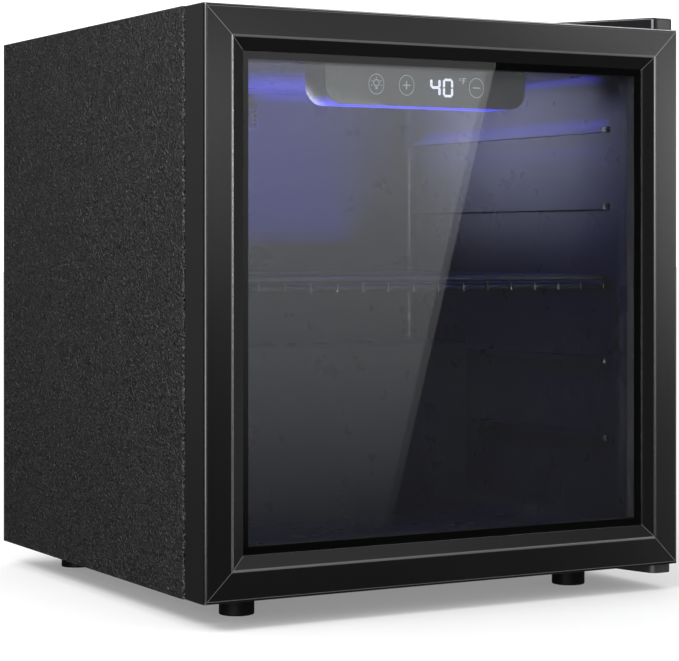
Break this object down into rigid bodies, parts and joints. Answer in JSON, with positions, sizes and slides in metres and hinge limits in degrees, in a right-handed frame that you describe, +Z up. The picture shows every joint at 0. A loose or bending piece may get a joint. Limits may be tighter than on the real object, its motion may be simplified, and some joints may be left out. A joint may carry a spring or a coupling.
{
  "type": "mini fridge",
  "caption": "Countertop beverage fridge with a framed glass door, black cabinet, wire shelf, touch display under the ceiling, levelling feet and a compressor bay behind.",
  "frame": {"origin": "on the floor, in the middle of the fridge's width and depth", "axes": "+X to the right seen from the front, +Y to the back, +Z up"},
  "size_m": [0.45, 0.4322, 0.4897],
  "materials": {
    "embossed_steel": "satin",
    "black_steel": "satin",
    "zinc_steel": "satin",
    "grey_steel": "satin",
    "liner_plastic": "satin",
    "foam": "matte",
    "aluminium": "satin",
    "copper": "satin",
    "compressor_black": "satin",
    "rubber": "matte",
    "zinc_fastener": "satin",
    "relay_plastic": "matte",
    "tray_plastic": "matte",
    "gloss_black": "gloss",
    "board_green": "satin",
    "lens": "satin",
    "foot_plastic": "matte",
    "door_frame": "satin",
    "glass": "gloss",
    "spacer": "satin",
    "gasket": "matte",
    "magnet": "matte",
    "bush": "satin",
    "shelf_wire": "satin"
  },
  "bodies": {
    "cabinet": {"left_side_panel": "embossed_steel", "right_side_panel": "embossed_steel", "top_panel": "black_steel", "base_plate": "zinc_steel", "back_panel": "grey_steel", "rear_cross_rail": "grey_steel", "bay_panel": "zinc_steel", "inner_liner": "liner_plastic", "foam_insulation": "foam", "evaporator_plate": "aluminium", "evaporator_tube": "aluminium", "right_condenser_tube": "copper", "left_condenser_tube": "copper", "filter_drier": "copper", "capillary_tube": "copper", "suction_tube": "copper", "discharge_tube": "copper", "compressor_lower_shell": "compressor_black", "compressor_upper_shell": "compressor_black", "compressor_base": "compressor_black", "compressor_grommets": "rubber", "compressor_bolts": "zinc_fastener", "relay_cover": "relay_plastic", "drip_tray": "tray_plastic", "drain_tube": "tray_plastic", "cord_gland": "rubber", "control_housing": "liner_plastic", "control_fascia": "gloss_black", "control_board": "board_green", "light_board": "board_green", "light_lens": "lens", "sensor_cover": "liner_plastic", "hinge_cover": "gloss_black", "upper_hinge_plate": "zinc_fastener", "hinge_reinforcement": "zinc_steel", "lower_hinge_bracket": "black_steel", "hinge_pins": "zinc_fastener", "hinge_screws": "zinc_fastener", "top_hole_plugs": "gloss_black", "rear_screws": "zinc_fastener", "foot_nuts": "zinc_fastener", "rear_feet": "foot_plastic"},
    "door": {"door_right_stile": "door_frame", "door_top_rail": "door_frame", "door_left_stile": "door_frame", "door_bottom_rail": "door_frame", "corner_keys": "tray_plastic", "front_pane": "glass", "rear_pane": "glass", "glass_spacer": "spacer", "inner_frame": "liner_plastic", "door_gasket": "gasket", "magnet_strips": "magnet", "hinge_bushes": "bush", "door_hole_plugs": "door_frame"},
    "shelf": {"shelf_frame": "shelf_wire", "shelf_wires": "shelf_wire", "shelf_cross_rods": "shelf_wire"},
    "left_foot": {"left_levelling_foot": "foot_plastic"},
    "right_foot": {"right_levelling_foot": "foot_plastic"}
  },
  "joints": [
    {"name": "door_swing", "type": "hinge", "parent": "cabinet", "child": "door", "pos_m": [0.214, -0.20027, 0.25], "axis": [0, 0, 1], "range_deg": [0, 120]},
    {"name": "shelf_slide", "type": "slide", "parent": "cabinet", "child": "shelf", "axis": [0, -1, 0], "range_m": [0, 0.008]},
    {"name": "left_foot_screw", "type": "slide", "parent": "cabinet", "child": "left_foot", "axis": [0, 0, -1], "range_m": [0, 0.008]},
    {"name": "right_foot_screw", "type": "slide", "parent": "cabinet", "child": "right_foot", "axis": [0, 0, -1], "range_m": [0, 0.008]}
  ]
}
